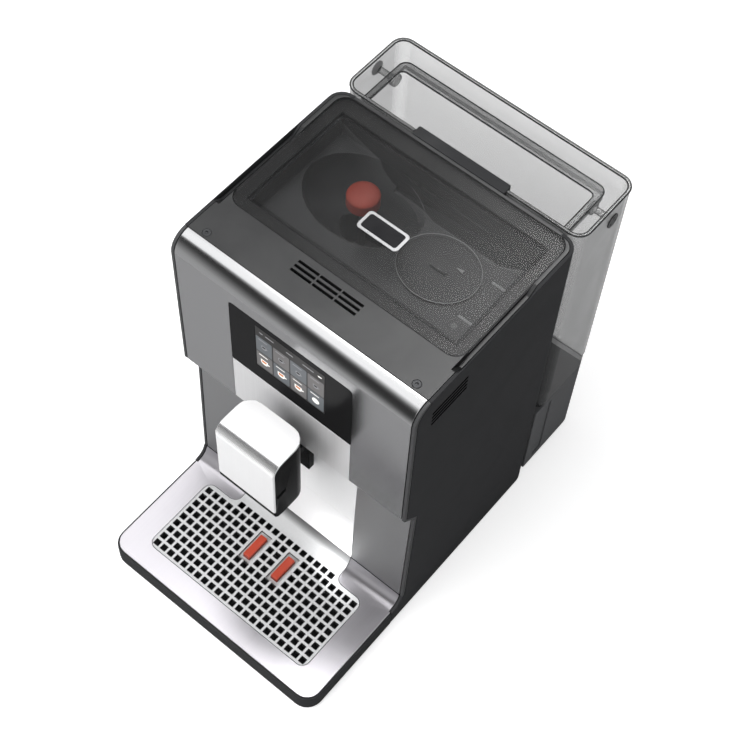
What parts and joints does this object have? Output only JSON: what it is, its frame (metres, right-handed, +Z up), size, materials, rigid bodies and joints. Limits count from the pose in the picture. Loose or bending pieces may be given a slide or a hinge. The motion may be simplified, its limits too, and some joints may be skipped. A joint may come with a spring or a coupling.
{
  "type": "bean to cup coffee machine",
  "caption": "Countertop bean to cup coffee machine with touch display, height adjustable spout, drip tray drawer, smoked bean lid and lift-out rear water tank.",
  "frame": {"origin": "middle of the machine's outer box, on the surface that it stands on", "axes": "+X to the machine's right as its user faces it, +Y to the rear, +Z up"},
  "size_m": [0.24, 0.398, 0.3753],
  "materials": {
    "brushed_metal": "satin brushed grey",
    "chrome": "bright, softly brushed",
    "trim_grey": "satin light grey",
    "dark_shell": "fine grained charcoal",
    "black_plastic": "black satin",
    "black_glass": "black glossy panel",
    "screen": "dark colour display with plain icons",
    "smoked": "smoked translucent",
    "hopper_smoke": "dark grey gloss",
    "light_plastic": "light silver satin",
    "float_red": "brick red satin",
    "clear_smoke": "clear, slightly grey",
    "rubber": "matt black",
    "inner_plastic": "plain grey",
    "cast_metal": "cast, satin",
    "board": "green circuit board",
    "copper": "drawn tube",
    "silicone": "milky hose"
  },
  "bodies": {
    "housing": {"base_chassis": "black_plastic", "machine_deck": "inner_plastic", "right_side_panel": "dark_shell", "left_side_panel": "dark_shell", "right_side_trim": "trim_grey", "left_side_trim": "trim_grey", "rear_panel": "dark_shell", "top_cover": "dark_shell", "front_panel": "brushed_metal", "front_frame": "black_plastic", "right_column": "brushed_metal", "left_column": "brushed_metal", "spout_plate": "chrome", "backsplash": "chrome", "display_panel": "black_glass", "display_screen": "screen", "control_board": "board", "right_cover_screw": "cast_metal", "left_cover_screw": "cast_metal", "front_right_foot": "rubber", "front_left_foot": "rubber", "rear_right_foot": "rubber", "rear_left_foot": "rubber", "bean_hopper": "hopper_smoke", "grinder_housing": "inner_plastic", "grinder_motor": "cast_metal", "brew_chamber": "inner_plastic", "brew_frame": "cast_metal", "brew_drive": "cast_metal", "water_pump": "cast_metal", "thermoblock": "cast_metal", "power_board": "board", "water_hose": "silicone", "hot_water_pipe": "copper", "tank_base": "dark_shell", "mains_gland": "rubber"},
    "hopper_lid_body": {"hopper_lid": "smoked", "lid_badge": "chrome"},
    "chute_lid_body": {"chute_lid": "smoked"},
    "grind_adjuster": {"grinder_knob": "float_red", "upper_burr": "cast_metal"},
    "burr_spindle": {"lower_burr": "cast_metal"},
    "brew_press": {"upper_piston": "inner_plastic"},
    "ejector": {"ejector_piston": "inner_plastic"},
    "spout": {"spout_shell": "chrome", "spout_core": "black_plastic", "spout_carriage": "black_plastic"},
    "drawer": {"tray_base": "black_plastic", "tray_cover": "brushed_metal", "drip_grille": "light_plastic", "grounds_container": "black_plastic", "grounds_front": "chrome"},
    "right_float_body": {"right_float": "float_red"},
    "left_float_body": {"left_float": "float_red"},
    "tank": {"water_tank": "clear_smoke"},
    "handle": {"tank_handle": "smoked", "handle_grip": "dark_shell", "right_pivot_cap": "clear_smoke", "left_pivot_cap": "clear_smoke"},
    "valve": {"tank_valve": "inner_plastic"}
  },
  "joints": [
    {"name": "drawer_slide", "type": "slide", "parent": "housing", "child": "drawer", "axis": [0, -1, 0], "range_m": [0, 0.16]},
    {"name": "right_float_rise", "type": "slide", "parent": "drawer", "child": "right_float_body", "axis": [0, 0, 1], "range_m": [0, 0.005]},
    {"name": "left_float_rise", "type": "slide", "parent": "drawer", "child": "left_float_body", "axis": [0, 0, 1], "range_m": [0, 0.005]},
    {"name": "spout_height", "type": "slide", "parent": "housing", "child": "spout", "axis": [0, 0, -1], "range_m": [0, 0.062]},
    {"name": "hopper_lid_lift", "type": "slide", "parent": "housing", "child": "hopper_lid_body", "axis": [0, 0, 1], "range_m": [0, 0.06]},
    {"name": "chute_lid_lift", "type": "slide", "parent": "housing", "child": "chute_lid_body", "axis": [0, 0, 1], "range_m": [0, 0.017]},
    {"name": "grind_setting", "type": "hinge", "parent": "housing", "child": "grind_adjuster", "pos_m": [-0.0445, 0.0575, 0.345], "axis": [0, 0, 1], "range_deg": [-60, 60]},
    {"name": "burr_spin", "type": "hinge", "parent": "housing", "child": "burr_spindle", "pos_m": [-0.0445, 0.0575, 0.24], "axis": [0, 0, 1], "continuous": true},
    {"name": "brew_press_slide", "type": "slide", "parent": "housing", "child": "brew_press", "axis": [0, 0, -1], "range_m": [0, 0.02]},
    {"name": "ejector_slide", "type": "slide", "parent": "housing", "child": "ejector", "axis": [0, 0, 1], "range_m": [0, 0.03]},
    {"name": "tank_lift", "type": "slide", "parent": "housing", "child": "tank", "axis": [0, 0, 1], "range_m": [0, 0.27]},
    {"name": "handle_swing", "type": "hinge", "parent": "tank", "child": "handle", "pos_m": [0, 0.165, 0.3575], "axis": [-1, 0, 0], "range_deg": [0, 90]},
    {"name": "valve_lift", "type": "slide", "parent": "tank", "child": "valve", "axis": [0, 0, 1], "range_m": [0, 0.004]}
  ]
}
